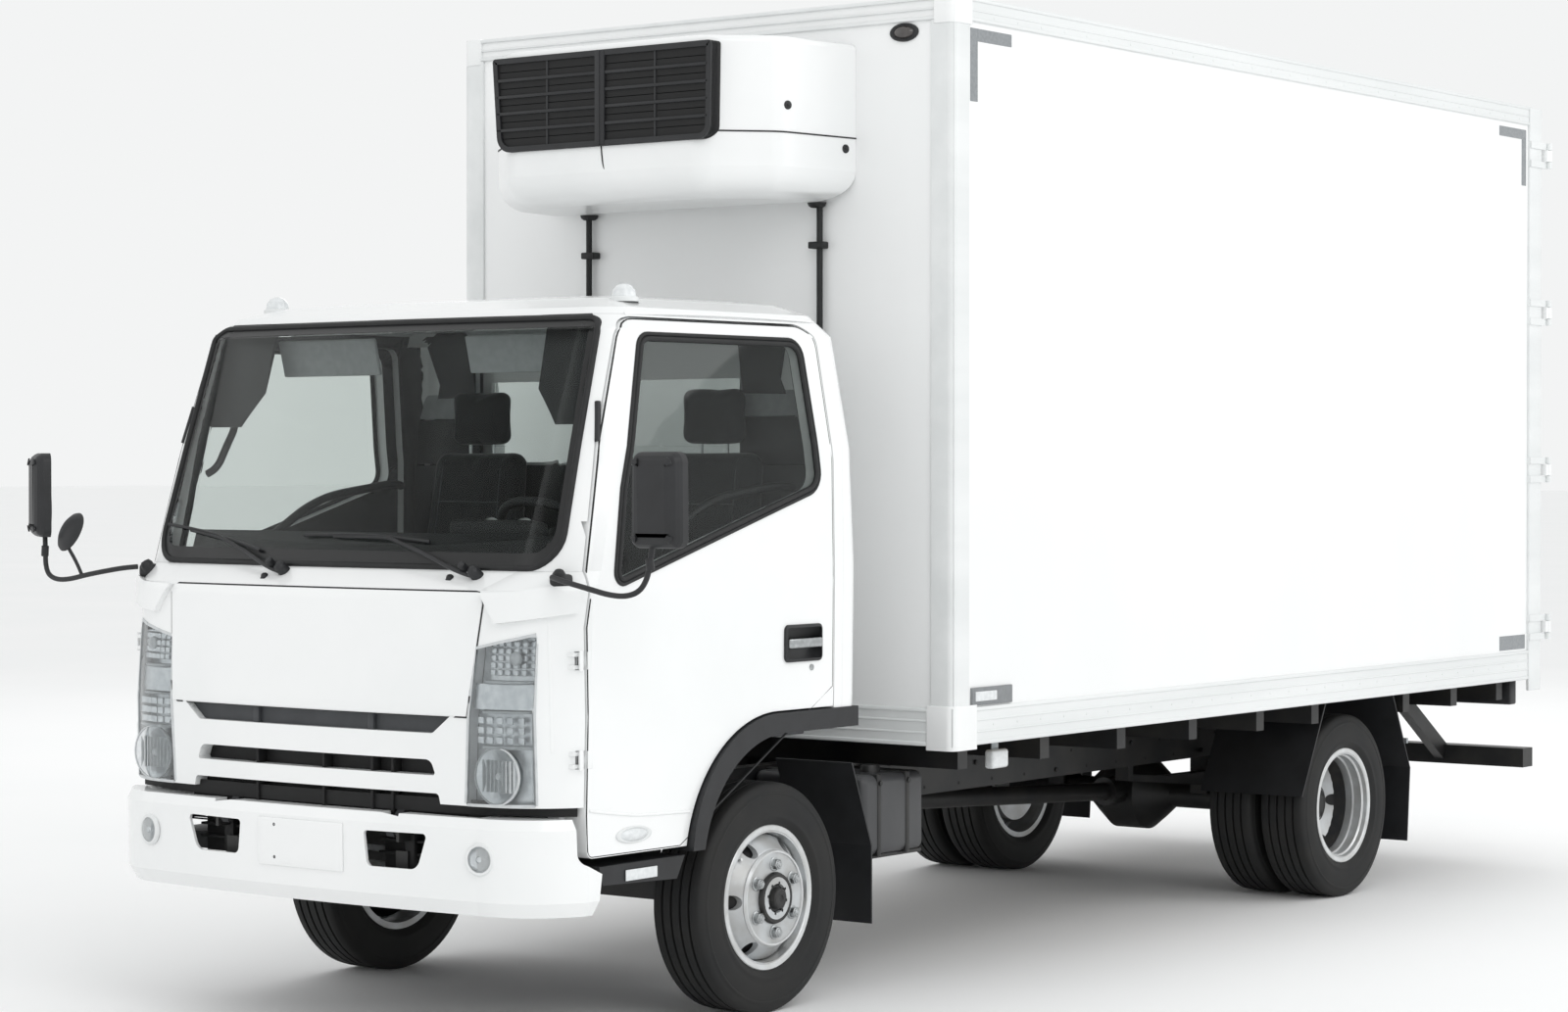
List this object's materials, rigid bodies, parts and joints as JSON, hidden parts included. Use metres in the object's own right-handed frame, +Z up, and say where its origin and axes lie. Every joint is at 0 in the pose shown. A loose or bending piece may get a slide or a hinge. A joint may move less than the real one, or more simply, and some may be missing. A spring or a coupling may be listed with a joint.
{
  "type": "refrigerated box truck",
  "caption": "Cab-over refrigerated delivery truck with a tilting cab, steered front wheels, twin rear wheels and an insulated box with rear doors and a front-wall cooling unit.",
  "frame": {"origin": "on the ground under the middle of the whole vehicle", "axes": "+Z up, the front towards -Y, +X on the truck's own left side"},
  "size_m": [2.89, 6.829, 3.3969],
  "materials": {
    "white_body": "gloss",
    "white_box": "satin",
    "box_floor_panel": "matte",
    "aluminium_edge": "satin",
    "grey_frame": "satin",
    "black_chassis": "satin",
    "engine_iron": "matte",
    "white_plastic": "gloss",
    "black_plastic": "matte",
    "unit_white": "satin",
    "black_hose": "matte",
    "fuel_tank_steel": "satin",
    "exhaust_steel": "matte",
    "glass": "gloss",
    "lamp_clear": "gloss",
    "lamp_red": "gloss",
    "seat_cloth": "matte",
    "floor_mat": "matte",
    "tyre_rubber": "matte",
    "wheel_white": "satin"
  },
  "bodies": {
    "chassis": {"chassis_frame": "black_chassis", "box_crossbearers": "black_chassis", "box_floor": "box_floor_panel", "box_side_walls": "white_box", "box_front_wall": "white_box", "box_roof": "white_box", "box_rear_frame": "grey_frame", "box_edge_rails": "aluminium_edge", "front_axle": "black_chassis", "rear_axle": "black_chassis", "leaf_springs": "black_chassis", "drive_shaft": "black_chassis", "engine_block": "engine_iron", "fuel_tank": "fuel_tank_steel", "battery_box": "black_chassis", "exhaust": "exhaust_steel", "underrun_guard": "black_chassis", "tail_lamps": "lamp_red", "rear_mudguards": "black_plastic", "front_mudguards": "black_plastic", "cab_steps": "black_plastic", "front_bumper": "white_plastic", "refrigeration_unit": "unit_white", "unit_hoses": "black_hose"},
    "cab": {"cab_roof": "white_body", "windscreen": "glass", "cab_back_panel": "white_body", "rear_window": "glass", "cab_front_panel": "white_body", "cab_side_frames": "white_body", "arch_flares": "black_plastic", "cab_floor": "floor_mat", "dashboard": "black_plastic", "driver_seat": "seat_cloth", "passenger_seat": "seat_cloth", "door_mirrors": "black_plastic", "headlamps": "lamp_clear"},
    "door_left": {"left_cab_door": "white_body", "left_door_glass": "glass"},
    "door_right": {"right_cab_door": "white_body", "right_door_glass": "glass"},
    "box_door_left": {"left_rear_door": "white_box"},
    "box_door_right": {"right_rear_door": "white_box"},
    "knuckle_left": {"left_knuckle": "black_chassis"},
    "knuckle_right": {"right_knuckle": "black_chassis"},
    "wheel_front_left": {"front_left_tyre": "tyre_rubber", "front_left_wheel": "wheel_white"},
    "wheel_front_right": {"front_right_tyre": "tyre_rubber", "front_right_wheel": "wheel_white"},
    "wheels_rear_left": {"rear_left_tyres": "tyre_rubber", "rear_left_wheels": "wheel_white"},
    "wheels_rear_right": {"rear_right_tyres": "tyre_rubber", "rear_right_wheels": "wheel_white"},
    "steering_wheel": {"steering_wheel": "black_plastic"}
  },
  "joints": [
    {"name": "steer_left", "type": "hinge", "parent": "chassis", "child": "knuckle_left", "pos_m": [0.69, -2.168, 0.378], "axis": [0, 0, 1], "range_deg": [-35, 35]},
    {"name": "steer_right", "type": "hinge", "parent": "chassis", "child": "knuckle_right", "pos_m": [-0.69, -2.168, 0.378], "axis": [0, 0, 1], "range_deg": [-35, 35]},
    {"name": "front_left_wheel_spin", "type": "hinge", "parent": "knuckle_left", "child": "wheel_front_left", "pos_m": [0.817, -2.168, 0.378], "axis": [1, 0, 0], "continuous": true},
    {"name": "front_right_wheel_spin", "type": "hinge", "parent": "knuckle_right", "child": "wheel_front_right", "pos_m": [-0.817, -2.168, 0.378], "axis": [1, 0, 0], "continuous": true},
    {"name": "rear_left_wheels_spin", "type": "hinge", "parent": "chassis", "child": "wheels_rear_left", "pos_m": [0.792, 1.677, 0.378], "axis": [1, 0, 0], "continuous": true},
    {"name": "rear_right_wheels_spin", "type": "hinge", "parent": "chassis", "child": "wheels_rear_right", "pos_m": [-0.792, 1.677, 0.378], "axis": [1, 0, 0], "continuous": true},
    {"name": "cab_tilt", "type": "hinge", "parent": "chassis", "child": "cab", "pos_m": [0, -3.368, 0.66], "axis": [1, 0, 0], "range_deg": [0, 40]},
    {"name": "left_cab_door_hinge", "type": "hinge", "parent": "cab", "child": "door_left", "pos_m": [0.956, -3.18, 1.05], "axis": [0, 0, -1], "range_deg": [0, 70]},
    {"name": "right_cab_door_hinge", "type": "hinge", "parent": "cab", "child": "door_right", "pos_m": [-0.956, -3.18, 1.05], "axis": [0, 0, 1], "range_deg": [0, 70]},
    {"name": "left_rear_door_hinge", "type": "hinge", "parent": "chassis", "child": "box_door_left", "pos_m": [1.132, 3.408, 2.1], "axis": [0, 0, -1], "range_deg": [0, 265]},
    {"name": "right_rear_door_hinge", "type": "hinge", "parent": "chassis", "child": "box_door_right", "pos_m": [-1.132, 3.408, 2.1], "axis": [0, 0, 1], "range_deg": [0, 265]},
    {"name": "steering_wheel_turn", "type": "hinge", "parent": "cab", "child": "steering_wheel", "pos_m": [0.49, -2.713, 1.55], "axis": [0, 0.6018, 0.7986], "range_deg": [-580, 580]}
  ],
  "couplings": [
    {"joint": "steer_right", "follows": "steer_left", "ratio": 1},
    {"joint": "steering_wheel_turn", "follows": "steer_left", "ratio": 16}
  ]
}
